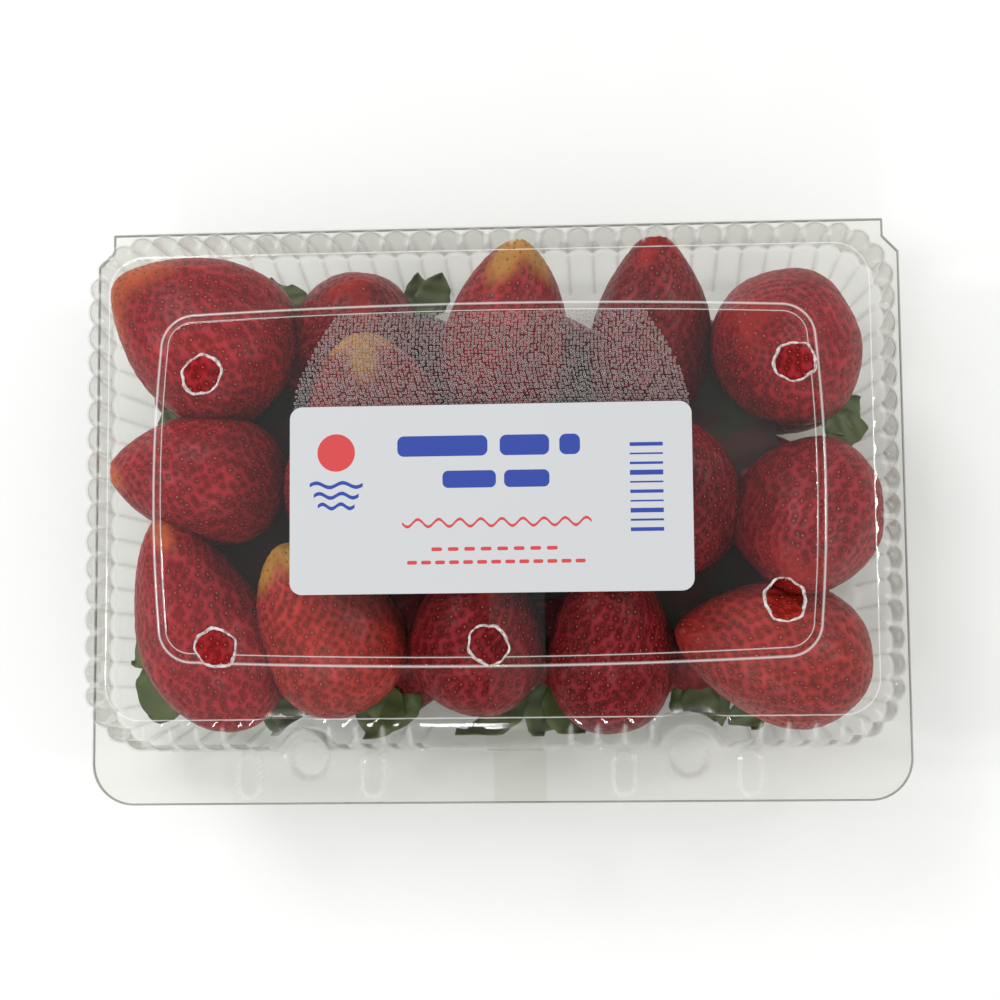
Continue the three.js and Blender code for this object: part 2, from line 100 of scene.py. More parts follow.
def add_lamp(name, place, size, watts, colour):
    lamp = bpy.data.objects.new(name, bpy.data.lights.new(name, "AREA"))
    bpy.context.collection.objects.link(lamp)
    lamp.location = place
    lamp.rotation_euler = Vector(place).to_track_quat("Z", "Y").to_euler()
    lamp.data.shape = "RECTANGLE"
    lamp.data.size, lamp.data.size_y = size
    lamp.data.energy = watts
    lamp.data.color = linear(colour)[:3]


bpy.ops.mesh.primitive_plane_add(size=3, location=(0, 0, -0.0004))
table = bpy.context.object
table.name = "table_top"
# White laminate: matt, so that it takes soft shadows and shows no reflection.
table_material, tree = new_material("white_table_laminate")
finish_material(tree, add(tree, "BsdfPrincipled", {
    "Base Color": linear("#ecedeb"), "Roughness": 0.7}).outputs[0])
table.data.materials.append(table_material)

add_lamp("lamp_back", (-0.45, 0.75, 0.75), (0.4, 0.3), 3.8, "#ffffff")
add_lamp("lamp_left", (-0.8, 0.0, 0.65), (0.10, 0.10), 2.2, "#ffffff")
add_lamp("lamp_right", (0.85, 0.1, 0.7), (0.12, 0.12), 2.6, "#fffaf4")
add_lamp("lamp_front", (-0.1, -0.8, 0.6), (0.10, 0.10), 1.6, "#ffffff")
world = bpy.data.worlds.new("pale_room")
world.use_nodes = True
world.node_tree.nodes["Background"].inputs["Color"].default_value = linear("#f4f5f6")
world.node_tree.nodes["Background"].inputs["Strength"].default_value = 0.84
bpy.context.scene.world = world
bpy.context.scene.cycles.transparent_max_bounces = 11
bpy.context.scene.cycles.diffuse_bounces = 1
bpy.context.scene.cycles.glossy_bounces = 1


# Shells of the pack: the stations round the wall
# Tray and lid are vacuum formed from one clear PET sheet, so every level of both is one ring
# round the same flutes: 26 along the front and back, 15 along each side and 4 at each corner.
MM = 0.001
WALL_HALF_X = 102.3
WALL_FRONT = -62.2
WALL_BACK = 69.4
WALL_CORNER = 17.0
FLUTES = {"corner": 4, "side": 15, "front": 26}
POINTS_A_FLUTE = 8
FLUTE_DEPTH = 1.25
PLAIN_HALF = 15.0
LATCH_X, LATCH_Y = 49.4, -64.6
NOTCH_RADIUS = 10.0
NOTCH_DEPTH = 5.4
FLANGE_HALF_X, FLANGE_HALF_Y = 106.5, 76.0
# Painted highlights: how white the creases between the flutes and the rings round the flange's bars and
# buttons are painted.
CREASE_HIGHLIGHT = 0.18
FLANGE_HIGHLIGHT = 0.12
BARS_X, BAR_Y, BAR_STRAIGHT = (32.5, 65.0), -68.3, 3.2

stations = []
for quarter in range(4):
    for kind in ("corner", "side" if quarter % 2 == 0 else "front"):
        count = FLUTES[kind] * POINTS_A_FLUTE
        for step in range(count):
            stations.append((quarter, kind == "corner", step / count, step / POINTS_A_FLUTE))
quarters = np.array([s[0] for s in stations])
at_corner = np.array([s[1] for s in stations])
along_part = np.array([s[2] for s in stations])
flute_phase = np.array([s[3] for s in stations])
station_count = len(stations)
sign_x = np.array([1, 1, -1, -1])
sign_y = np.array([-1, 1, 1, -1])


def ring(half_x, front, back, corner, bow_x=0.0, bow_y=0.0):
    """A round-cornered rectangle's points and outward normals at every station."""
    middle = (front + back) / 2
    half_y = (back - front) / 2
    following = (quarters + 1) % 4
    turn = np.where(at_corner, (quarters / 2 - 0.5 + along_part / 2) * np.pi, quarters * np.pi / 2)
    normal = np.stack([np.cos(turn), np.sin(turn)], 1)
    share = np.where(at_corner, 0.0, along_part)
    mix_x = sign_x[quarters] + (sign_x[following] - sign_x[quarters]) * share
    mix_y = sign_y[quarters] + (sign_y[following] - sign_y[quarters]) * share
    bow = np.where(quarters % 2 == 0, bow_x, bow_y) * np.where(at_corner, 0, 1 - (2 * along_part - 1) ** 2)
    places = np.stack([mix_x * (half_x - corner), middle + mix_y * (half_y - corner)], 1)
    return places + normal * (corner + bow)[:, None], normal


wall_places, wall_normals = ring(WALL_HALF_X, WALL_FRONT, WALL_BACK, WALL_CORNER)
on_front = wall_places[:, 1] < WALL_FRONT + 0.5
latch_reach = np.abs(np.abs(wall_places[:, 0]) - LATCH_X)
is_plain = on_front & ((np.abs(wall_places[:, 0]) < PLAIN_HALF) | (latch_reach < NOTCH_RADIUS))
valley_shape = 1 - np.abs(np.sin(np.pi * flute_phase)) ** 0.75
valley_shape[is_plain] = 0


def wall_ring(inset, flute_share, notch_radius):
    """The fluted wall's outline, set in by some millimetres and stepped in round the latches."""
    reach = np.sqrt(np.maximum(0, notch_radius ** 2 - latch_reach ** 2))
    notch = np.where(on_front, np.maximum(0, reach - (notch_radius - NOTCH_DEPTH)), 0)
    if notch_radius == 0:
        notch = notch * 0
    move = inset + valley_shape * FLUTE_DEPTH * flute_share + notch
    return wall_places - wall_normals * move[:, None]


def flange_ring():
    """The flange's edge: round corners in front and chamfered ears beside the hinge."""
    edge, _ = ring(FLANGE_HALF_X, -FLANGE_HALF_Y, FLANGE_HALF_Y, 11.0)
    ear_x, ear_y, chamfer_y = 102.5, 71.4, 67.2
    for quarter, sign in ((1, 1), (2, -1)):
        corner = at_corner & (quarters == quarter)
        travel = along_part[corner] if sign > 0 else 1 - along_part[corner]
        edge[corner, 0] = sign * np.interp(travel, [0, 0.4, 0.8, 1], [FLANGE_HALF_X, ear_x, ear_x, 97.0])
        edge[corner, 1] = np.interp(
            travel, [0, 0.4, 0.8, 1], [chamfer_y, ear_y, FLANGE_HALF_Y, FLANGE_HALF_Y])
    side = ~at_corner & (quarters % 2 == 0)
    edge[side, 1] = np.interp(edge[side, 1], [-65, 65], [-65, chamfer_y])
    back = ~at_corner & (quarters == 1)
    edge[back, 0] *= 97.0 / (FLANGE_HALF_X - 11.0)
    return edge


def smooth(low, high, value):
    share = np.clip((value - low) / (high - low), 0, 1)
    return share * share * (3 - 2 * share)


def emboss(places, socket):
    """How far the flange is formed up by its bars and down by its snap buttons, in millimetres."""
    x, y = np.abs(places[:, 0]), places[:, 1]
    height = np.zeros(len(places))
    for bar_x in BARS_X:
        away = np.hypot(x - bar_x, np.maximum(np.abs(y - BAR_Y) - BAR_STRAIGHT, 0))
        height += 1.1 * smooth(3.3, 2.0, away)
    away = np.hypot(x - LATCH_X, y - LATCH_Y)
    height += 0.5 * smooth(7.0, 6.2, away) * smooth(4.8, 5.4, away)
    height -= 2.6 * smooth(4.9 + socket, 3.9 + socket, away)
    return height


def make_shell(name, levels, inner_fill, thickness, fluted):
    """Wraps a grid round the stations, level by level, fills the middle and gives it a wall.

    The creases between the flutes are painted white as a highlight, at the heights from fluted[0] to
    fluted[1]."""
    bpy.ops.object.select_all(action="DESELECT")
    bpy.ops.mesh.primitive_grid_add(x_subdivisions=station_count, y_subdivisions=len(levels) - 1, size=1)
    shell = bpy.context.object
    shell.name = name
    wide = station_count + 1
    shape = np.zeros((len(levels), wide, 3))
    for row, (places, height) in enumerate(levels):
        shape[row, :-1, :2] = places
        shape[row, :-1, 2] = height
        shape[row, -1] = shape[row, 0]
    shell.data.vertices.foreach_set("co", (shape.reshape(-1) * MM).astype(np.float32))
    shell.data.update()
    crease = np.append(valley_shape, valley_shape[0]) ** 4 * CREASE_HIGHLIGHT
    is_fluted = (shape[:, :, 2] > fluted[0]) & (shape[:, :, 2] < fluted[1])
    store_share(shell, "fold", (is_fluted * crease[None, :]).reshape(-1))
    bpy.ops.object.mode_set(mode="EDIT")
    bpy.ops.mesh.select_all(action="SELECT")
    bpy.ops.mesh.remove_doubles(threshold=0.000005)
    bpy.ops.mesh.select_all(action="DESELECT")
    bpy.ops.object.mode_set(mode="OBJECT")
    mesh = bmesh.new()
    mesh.from_mesh(shell.data)
    inside = [edge for edge in mesh.edges if (edge.is_wire or edge.is_boundary)
              and all(abs(vertex.co.z - inner_fill * MM) < 1e-6 for vertex in edge.verts)]
    bmesh.ops.triangle_fill(mesh, use_beauty=True, use_dissolve=False, edges=inside, normal=(0, 0, 1))
    mesh.to_mesh(shell.data)
    mesh.free()
    solidify = shell.modifiers.new("wall", "SOLIDIFY")
    solidify.thickness = thickness * MM
    solidify.offset = -1
    bpy.ops.object.modifier_apply(modifier="wall")
    bpy.ops.object.shade_smooth_by_angle(angle=math.radians(38))
    return shell


def places_of(target):
    flat = np.empty(len(target.data.vertices) * 3)
    target.data.vertices.foreach_get("co", flat)
    return flat.reshape(-1, 3) / MM


def store_share(target, name, values):
    layer = target.data.attributes.new(name, "FLOAT", "POINT")
    layer.data.foreach_set("value", np.asarray(values, dtype=np.float32))


def paint_fold_highlights(shell, folds):
    """Paints further white highlights on the plastic at its sharp folds and round the flange's bars and
    buttons.

    Each fold is a height in millimetres, how far its painted highlight spreads and how white it is."""
    x, y, height = places_of(shell).T
    white = np.zeros(len(height), dtype=np.float32)
    shell.data.attributes["fold"].data.foreach_get("value", white)
    shell.data.attributes.remove(shell.data.attributes["fold"])
    for level, spread, most in folds:
        white = np.maximum(white, most * np.exp(-((height - level) / spread) ** 2))
    on_flange = y < WALL_FRONT - 0.3
    for bar_x in BARS_X:
        away = np.hypot(np.abs(x) - bar_x, np.maximum(np.abs(y - BAR_Y) - BAR_STRAIGHT, 0))
        white += on_flange * FLANGE_HIGHLIGHT * smooth(2.0, 2.6, away) * smooth(3.4, 2.8, away)
    away = np.hypot(np.abs(x) - LATCH_X, y - LATCH_Y)
    white += on_flange * FLANGE_HIGHLIGHT * smooth(3.6, 4.2, away) * smooth(5.4, 4.7, away)
    store_share(shell, "fold", white)


def add_clear_plastic(name, tint):
    """Thin clear sheet: its outer face mirrors by the angle to the eye, and its folds carry a painted white
    highlight.
    """
    material, tree = new_material(name)
    facing = add(tree, "LayerWeight", {"Blend": 0.5}).outputs["Facing"]
    edge = add(tree, "Math", {0: facing, 1: 5.0}, operation="POWER")
    shine = add(tree, "Attribute", attribute_name="shine").outputs["Fac"]
    reflectance = add(tree, "Math", {0: edge.outputs[0], 1: 0.7, 2: shine}, operation="MULTIPLY_ADD")
    inner_face = add(tree, "NewGeometry").outputs["Backfacing"]
    outer_face = add(tree, "Math", {0: 1.0, 1: inner_face}, operation="SUBTRACT")
    mirror_share = add(tree, "Math", {
        0: reflectance.outputs[0], 1: outer_face.outputs[0]}, operation="MULTIPLY")
    colour = add(tree, "MixRGB", {
        "Fac": edge.outputs[0], "Color1": linear(tint), "Color2": linear("#e8e8e5")})
    clear = add(tree, "BsdfTransparent", {"Color": colour.outputs[0]})
    mirror = add(tree, "BsdfGlossy", {"Color": linear("#ffffff"), "Roughness": 0.05})
    sheet = add(tree, "MixShader", {0: mirror_share.outputs[0], 1: clear.outputs[0], 2: mirror.outputs[0]})
    fold = add(tree, "Attribute", attribute_name="fold").outputs["Fac"]
    # Painted highlight: a white diffuse share, as large as the fold attribute, on creases, folds and flange
    # rings.
    highlight_white = add(tree, "BsdfDiffuse", {"Color": linear("#f6f5f2")})
    with_highlights = add(tree, "MixShader", {0: fold, 1: sheet.outputs[0], 2: highlight_white.outputs[0]})
    lamp_ray = add(tree, "LightPath").outputs["Is Shadow Ray"]
    plain = add(tree, "BsdfTransparent", {"Color": linear("#fdfdfd")})
    lit = add(tree, "MixShader", {0: lamp_ray, 1: with_highlights.outputs[0], 2: plain.outputs[0]})
    finish_material(tree, lit.outputs[0])
    return material


# The sheet's cut edge: a little milky, which draws the flange's outline.
cut_edge, tree = new_material("cut_pet_edge")
clear = add(tree, "BsdfTransparent", {"Color": linear("#d8dad6")})
frosted = add(tree, "BsdfPrincipled", {"Base Color": linear("#cfd1cd"), "Roughness": 0.25})
finish_material(tree, add(tree, "MixShader", {
    0: 0.35, 1: clear.outputs[0], 2: frosted.outputs[0]}).outputs[0])


BEAD_WIDE, BEAD_HIGH, BEAD_INSET = 0.24, 0.26, 0.2


def make_rim(name, height):
    """The sheet's cut edge round a flange: a thin bead along the flange's outline."""
    outline = flange_ring()
    ahead = np.roll(outline, -1, axis=0) - np.roll(outline, 1, axis=0)
    ahead /= np.maximum(np.linalg.norm(ahead, axis=1), 1e-6)[:, None]
    outward = np.stack([ahead[:, 1], -ahead[:, 0]], 1)
    bpy.ops.object.select_all(action="DESELECT")
    bpy.ops.mesh.primitive_grid_add(x_subdivisions=station_count, y_subdivisions=6, size=1)
    rim = bpy.context.object
    rim.name = name
    shape = np.zeros((7, station_count + 1, 3))
    for row, turn in enumerate(np.linspace(0, 2 * math.pi, 7)):
        shape[row, :-1, :2] = outline + outward * (BEAD_WIDE * math.cos(turn) - BEAD_INSET)
        shape[row, :-1, 2] = height + BEAD_HIGH * math.sin(turn)
        shape[row, -1] = shape[row, 0]
    rim.data.vertices.foreach_set("co", (shape.reshape(-1) * MM).astype(np.float32))
    rim.data.update()
    bpy.ops.object.mode_set(mode="EDIT")
    bpy.ops.mesh.select_all(action="SELECT")
    bpy.ops.mesh.remove_doubles(threshold=0.000005)
    bpy.ops.mesh.normals_make_consistent(inside=False)
    bpy.ops.object.mode_set(mode="OBJECT")
    bpy.ops.object.shade_smooth()
    rim.data.materials.append(cut_edge)
    return rim


# Tray
# The lower half: a flat floor, a fluted wall that flares to the flange, and two snap sockets.
# Vacuum formed clear PET about 0.4 mm thick; it stands on its flat floor.
TRAY_TOP = 28.0
tray_edge = flange_ring()
tray_foot = wall_ring(-0.3, 0, 8.4)
tray_levels = []
for share in np.linspace(0, 1, 28):
    places = tray_edge + (tray_foot - tray_edge) * share
    tray_levels.append((places, TRAY_TOP + emboss(places, 0.5)))
for inset, height, flute_share in (
        (0.6, 27.8, 0.5), (0.95, 27.2, 0.9), (1.25, 26.0, 1.0), (2.2, 20.6, 1.0), (3.2, 15.0, 1.0),
        (4.2, 9.4, 1.0), (5.1, 4.4, 1.0), (5.5, 2.6, 0.9), (6.1, 1.4, 0.7), (7.0, 0.8, 0.4), (8.2, 0.6, 0)):
    tray_levels.append((wall_ring(inset, flute_share, 8.4), np.full(station_count, height)))
tray_shell = make_shell("tray_shell", tray_levels, 0.6, 0.5, (2.0, 27.5))
# Painted highlight along the fold at the top of the tray's wall.
paint_fold_highlights(tray_shell, [(27.4, 0.25, 0.10)])
store_share(tray_shell, "shine", np.full(len(tray_shell.data.vertices), 0.02))
tray_shell.data.materials.append(add_clear_plastic("clear_pet_tray", "#fdfdfc"))
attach(tray_shell, "tray")
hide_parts("tray")
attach(make_rim("tray_cut_edge", 27.75), "tray")


# Lid
# The upper half: flange, fluted wall, a sloping brow where the flutes die out, a deck and a
# raised panel with bowed sides. The five vents were melted through the panel with a hot tool.
LID_SEAT = 28.3
PANEL_TOP = 69.3
lid_foot = wall_ring(-1.0, 0, 8.4)
lid_levels = []
for share in np.linspace(0, 1, 28):
    places = tray_edge + (lid_foot - tray_edge) * share
    lid_levels.append((places, LID_SEAT + 0.6 + emboss(places, 0)))
for inset, rise, flute_share, notch_radius in (
        (-0.35, 0.8, 0.5, 8.4), (0.0, 1.5, 0.9, 8.4), (0.05, 3.5, 1.0, 8.5), (0.12, 11, 1.0, 8.9),
        (0.2, 19, 1.0, 9.4), (0.3, 26, 1.05, 9.8), (0.55, 28.8, 1.15, 10), (1.0, 30.6, 1.25, 10),
        (1.75, 32.1, 1.3, 10), (2.8, 33.5, 1.25, 10), (4.2, 34.7, 1.05, 10), (5.7, 35.7, 0.75, 9.6),
        (7.1, 36.4, 0.35, 9), (7.85, 36.7, 0.1, 8.2), (8.1, 36.8, 0, 8), (8.35, 36.87, 0, 8)):
    fade = 1 - smooth(5.0, 8.6, inset)
    places = wall_ring(inset, flute_share, notch_radius)
    plain = wall_ring(inset, flute_share, 0)
    lid_levels.append((plain + (places - plain) * fade, np.full(station_count, LID_SEAT + rise)))
shoulder = wall_ring(8.9, 0, 0)
panel_low, _ = ring(80.6, -39.9, 45.7, 8.2, 1.6, 1.6)
for share in (0.0, 0.35, 0.7):
    deck_height = LID_SEAT + 37 + 1.8 * share
    lid_levels.append((shoulder + (panel_low - shoulder) * share, np.full(station_count, deck_height)))
for grow, rise in ((1.8, 38.7), (1.4, 38.76), (0.9, 38.95), (0.35, 39.5), (-0.35, 40.45), (-0.55, 40.65),
        (-0.75, 40.8), (-0.95, 40.92), (-1.4, 41), (-3.0, 41)):
    places, _ = ring(79.2 + grow, -38.7 - grow, 44.5 + grow, 7.0 + grow, 1.6, 1.6)
    lid_levels.append((places, np.full(station_count, LID_SEAT + rise)))
lid_shell = make_shell("lid_shell", lid_levels, PANEL_TOP, 0.5, (30.2, 63.8))
lid_shell.data.materials.append(add_clear_plastic("clear_pet_lid", "#fdfdfc"))
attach(lid_shell, "lid")
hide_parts("lid")


# Vents
# Five holes melted through the panel; two of them straddle its front step. Each has an uneven
# whitish rim of set plastic. Holes are cut by bars of uneven outline, rims are uneven tori.
VENTS = [(-70.0, 30.6, 4.9), (75.3, 31.2, 5.0), (-66.1, -36.6, 4.9), (0.3, -36.6, 4.9), (71.6, -26.6, 5.1)]
PANEL_HALF_X, PANEL_MID_Y, PANEL_HALF_Y, PANEL_BOW = 79.2, 2.9, 41.6, 1.6
DECK_TOP = 67.1


def lid_top(x, y):
    """Height in millimetres of the lid's top: on the panel, on its sloping edge or on the deck."""
    reach_y = PANEL_HALF_Y + PANEL_BOW * (1 - (x / PANEL_HALF_X) ** 2) - np.abs(y - PANEL_MID_Y)
    reach_x = PANEL_HALF_X + PANEL_BOW * (1 - ((y - PANEL_MID_Y) / PANEL_HALF_Y) ** 2) - np.abs(x)
    return DECK_TOP + (PANEL_TOP - DECK_TOP) * smooth(-1.2, 1.2, np.minimum(reach_x, reach_y))


def uneven(turn, phase):
    """How far a melted outline strays from round, as a share of its radius."""
    oval = 0.05 * np.sin(2 * turn + phase)
    return oval + 0.035 * np.sin(5 * turn + 3 * phase) + 0.02 * np.sin(9 * turn - phase)


def shape_vertices(target, change):
    """Moves every vertex of an object by a function of all its places, in millimetres."""
    count = len(target.data.vertices)
    flat = np.empty(count * 3)
    target.data.vertices.foreach_get("co", flat)
    moved = change(flat.reshape(count, 3) / MM)
    target.data.vertices.foreach_set("co", (moved * MM).reshape(-1).astype(np.float32))
    target.data.update()


def join_all(parts, name):
    bpy.ops.object.select_all(action="DESELECT")
    for item in parts:
        item.select_set(True)
    bpy.context.view_layer.objects.active = parts[0]
    if len(parts) > 1:
        bpy.ops.object.join()
    parts[0].name = name
    return parts[0]


cutters, rims = [], []
for phase, (x, y, radius) in enumerate(VENTS):
    bpy.ops.mesh.primitive_cylinder_add(vertices=56, radius=MM, depth=8 * MM)
    cutter = bpy.context.object

    def shape_cutter(places):
        turn = np.arctan2(places[:, 1], places[:, 0])
        wide = radius * (1 + uneven(turn, phase))
        return np.stack([x + wide * np.cos(turn), y + wide * np.sin(turn), 68 + places[:, 2]], 1)

    shape_vertices(cutter, shape_cutter)
    cutters.append(cutter)
    bpy.ops.mesh.primitive_torus_add(
        major_segments=96, minor_segments=10, major_radius=5 * MM, minor_radius=0.42 * MM)
    rim = bpy.context.object

    def shape_rim(places):
        turn = np.arctan2(places[:, 1], places[:, 0])
        outward = np.hypot(places[:, 0], places[:, 1]) - 5
        thick = 0.8 + 0.22 * np.sin(2 * turn + 2 * phase)
        thick = thick + 0.2 * np.sin(5 * turn + phase) * np.sin(13 * turn)
        wide = radius * (1 + uneven(turn, phase)) + outward * thick - 0.1
        edge_x, edge_y = x + wide * np.cos(turn), y + wide * np.sin(turn)
        return np.stack([edge_x, edge_y, lid_top(edge_x, edge_y) - 0.1 + places[:, 2] * thick * 0.8], 1)

    shape_vertices(rim, shape_rim)
    rims.append(rim)

cutter = join_all(cutters, "vent_cutter")
cut = lid_shell.modifiers.new("vents", "BOOLEAN")
cut.operation = "DIFFERENCE"
cut.object = cutter
cut.solver = "EXACT"
bpy.context.view_layer.objects.active = lid_shell
bpy.ops.object.modifier_apply(modifier="vents")
# Painted highlights along three folds: the panel's top edge, the panel's foot and the deck's outer edge.
paint_fold_highlights(lid_shell, [(69.08, 0.07, 0.6), (67.06, 0.03, 0.5), (65.1, 0.03, 0.5)])
x, y, height = places_of(lid_shell).T
# The panel's mirror share is painted higher than elsewhere and turned down towards its front middle, a
# painted dimmer reflection, so it shines less there.
dimmed_reflection = smooth(-40, -18, x) * smooth(62, 40, x) * smooth(-18, -26, y)
store_share(lid_shell, "shine", np.where(height > 64.8, 0.032 - 0.03 * dimmed_reflection, 0.02))
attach(make_rim("lid_cut_edge", 28.65), "lid")

vent_rims = join_all(rims, "vent_rims")
bpy.ops.object.shade_smooth()
# Sheet that has melted and set again: grainy, whitish and partly clear.
material, tree = new_material("melted_pet")
place = add(tree, "TexCoord").outputs["Object"]
grain = add(tree, "TexNoise", {"Vector": place, "Scale": 900.0, "Detail": 3.0})
rough = add(tree, "Bump", {"Height": grain.outputs["Fac"], "Strength": 0.5, "Distance": 0.0004})
frosted = add(tree, "BsdfPrincipled", {
    "Base Color": linear("#dad6d3"), "Roughness": 0.35, "Normal": rough.outputs["Normal"]})
clear = add(tree, "BsdfTransparent", {"Color": linear("#f4f2f0")})
share = add(tree, "MapRange", {
    "Value": grain.outputs["Fac"], "From Min": 0.35, "From Max": 0.62, "To Min": 0.15, "To Max": 0.85})
finish_material(tree, add(tree, "MixShader", {
    0: share.outputs[0], 1: clear.outputs[0], 2: frosted.outputs[0]}).outputs[0])
vent_rims.data.materials.append(material)
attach(vent_rims, "lid")


# Label
# White coated paper with round corners on the panel, with plain printed shapes in red and blue.
# A bevelled plate; the print is thin flat pieces laid on it: bars, dots, a disc and waves.
LABEL_X, LABEL_Y, LABEL_W, LABEL_H, LABEL_CORNER = 1.1, -1.1, 98.0, 46.0, 3.0
LABEL_LOW, LABEL_TOP = 69.62, 69.85


def add_plate(name, x, y, width, depth, corner, low, top):
    """A flat plate with round corners, from a cube whose upright edges are bevelled."""
    bpy.ops.mesh.primitive_cube_add(size=1, location=(0, 0, 0))
    plate = bpy.context.object
    plate.name = name
    shape_vertices(plate, lambda places: np.stack([
        x + places[:, 0] * MM * width, y + places[:, 1] * MM * depth,
        (low + top) / 2 + places[:, 2] * MM * (top - low)], 1))
    if corner > 0:
        bpy.ops.object.mode_set(mode="EDIT")
        bpy.ops.mesh.select_mode(type="EDGE")
        bpy.ops.mesh.select_all(action="DESELECT")
        bpy.ops.object.mode_set(mode="OBJECT")
        for edge in plate.data.edges:
            first, second = [plate.data.vertices[i].co for i in edge.vertices]
            edge.select = abs(first.z - second.z) > 1e-7
        bpy.ops.object.mode_set(mode="EDIT")
        bpy.ops.mesh.bevel(offset=corner * MM, segments=10)
        bpy.ops.object.mode_set(mode="OBJECT")
    return plate


label = add_plate("label_paper", LABEL_X, LABEL_Y, LABEL_W, LABEL_H, LABEL_CORNER, LABEL_LOW, LABEL_TOP)
# Coated label paper: smooth, nearly matt, a slightly blue white.
material, tree = new_material("coated_paper")
finish_material(tree, add(tree, "BsdfPrincipled", {
    "Base Color": linear("#bec0c2"), "Roughness": 0.5, "Specular IOR Level": 0.3}).outputs[0])
label.data.materials.append(material)
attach(label, "lid")
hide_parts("label")

blue_print, red_print = [], []
PRINT_LOW, PRINT_TOP = LABEL_TOP - 0.02, LABEL_TOP + 0.02


def print_bar(group, x, y, width, depth, corner=0.0):
    group.append(add_plate("bar", x, y, width, depth, corner, PRINT_LOW, PRINT_TOP))


def print_disc(group, x, y, radius):
    bpy.ops.mesh.primitive_cylinder_add(vertices=48, radius=MM, depth=MM)
    disc = bpy.context.object
    shape_vertices(disc, lambda places: np.stack([
        x + places[:, 0] * radius, y + places[:, 1] * radius,
        (PRINT_LOW + PRINT_TOP) / 2 + places[:, 2] * (PRINT_TOP - PRINT_LOW)], 1))
    group.append(disc)


def print_wave(group, x, y, width, swing, waves, thick):
    """A printed wavy line, from a long plate cut into steps and bent by a sine."""
    bpy.ops.mesh.primitive_grid_add(x_subdivisions=int(waves * 16), y_subdivisions=1, size=1)
    line = bpy.context.object

    def bend(places):
        along = places[:, 0] * MM
        height = swing * np.sin(along * waves * 2 * np.pi)
        return np.stack([x + along * width, y + height + places[:, 1] * MM * thick,
                         np.full(len(places), PRINT_TOP)], 1)

    shape_vertices(line, bend)
    group.append(line)


print_disc(red_print, -36.5, 10.5, 4.6)
for step in range(3):
    print_wave(blue_print, -36.5, 2.6 - 2.6 * step, 13 - 2 * step, 0.55, 2, 0.9)
for x, width in ((-10.5, 22), (9.5, 12), (20.5, 5)):
    print_bar(blue_print, x, 11.8, width, 5.0, 1.6)
for x, width in ((-4.0, 13), (10.0, 11)):
    print_bar(blue_print, x, 3.6, width, 4.2, 1.4)
print_wave(red_print, 2.6, -7.0, 46, 0.9, 9, 0.7)
for x in np.arange(-12, 17, 4.0):
    print_bar(red_print, x, -13.4, 2.6, 0.9, 0.4)
for x in np.arange(-18, 25, 3.4):
    print_bar(red_print, x, -16.6, 2.4, 0.9, 0.4)
for step, width in enumerate((0.9, 0.4, 0.6, 1.2, 0.4, 0.8, 0.4, 1.1, 0.5, 0.9)):
    print_bar(blue_print, 39.0, 11.5 - 2.3 * step, 8.0, width, 0)
for group, name, code in ((blue_print, "blue_print", "#1f3a93"), (red_print, "red_print", "#c23a3c")):
    printed = join_all(group, name)
    # Printing ink: flat colour with the low gloss of the paper.
    material, tree = new_material(name.replace("print", "ink"))
    finish_material(tree, add(tree, "BsdfPrincipled", {
        "Base Color": linear(code), "Roughness": 0.45}).outputs[0])
    printed.data.materials.append(material)
    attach(printed, "lid")


# Seal tape
# A strip of clear tape from under the label over the panel's front edge, down the flat part of
# the wall to the flange's edge. A grid laid along the lid's profile and given a thickness.
TAPE_WIDTH, TAPE_TOP_X, TAPE_END_X = 13.6, 7.3, 5.8
TAPE_PATH = [
    (-22.0, 69.5), (-36.0, 69.5), (-39.2, 69.45), (-40.2, 69.0), (-41.0, 68.0), (-42.0, 67.4),
    (-44.0, 67.2), (-52.9, 65.4), (-55.8, 64.55), (-58.0, 63.3), (-59.6, 61.95), (-60.9, 60.1),
    (-61.8, 58.0), (-62.15, 54.3), (-62.35, 47.3), (-62.4, 39.3), (-62.45, 31.8), (-62.6, 30.0),
    (-63.2, 29.35), (-64.4, 29.2), (-76.1, 29.2)]
bpy.ops.mesh.primitive_grid_add(x_subdivisions=6, y_subdivisions=len(TAPE_PATH) - 1, size=1)
tape = bpy.context.object
tape.name = "seal_tape_strip"


def lay_tape(places):
    across = places[:, 0] * MM
    share = places[:, 1] * MM + 0.5
    row = np.rint(share * (len(TAPE_PATH) - 1)).astype(int)
    path = np.array(TAPE_PATH)[row]
    middle = TAPE_TOP_X + (TAPE_END_X - TAPE_TOP_X) * smooth(-40, -62, path[:, 0])
    return np.stack([middle + across * TAPE_WIDTH, path[:, 0], path[:, 1]], 1)


shape_vertices(tape, lay_tape)
solid_tape = tape.modifiers.new("thickness", "SOLIDIFY")
solid_tape.thickness = 0.12 * MM
solid_tape.offset = 1
bpy.ops.object.modifier_apply(modifier="thickness")
tape_cut = tape.modifiers.new("vent", "BOOLEAN")
tape_cut.operation = "DIFFERENCE"
tape_cut.object = cutter
tape_cut.solver = "EXACT"
bpy.ops.object.modifier_apply(modifier="vent")
bpy.data.objects.remove(cutter)
bpy.ops.object.shade_smooth_by_angle(angle=math.radians(38))
tape.data.materials.append(add_clear_plastic("clear_tape", "#fdfdfa"))
store_share(tape, "shine", np.full(len(tape.data.vertices), 0.02))
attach(tape, "lid")
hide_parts("seal_tape")


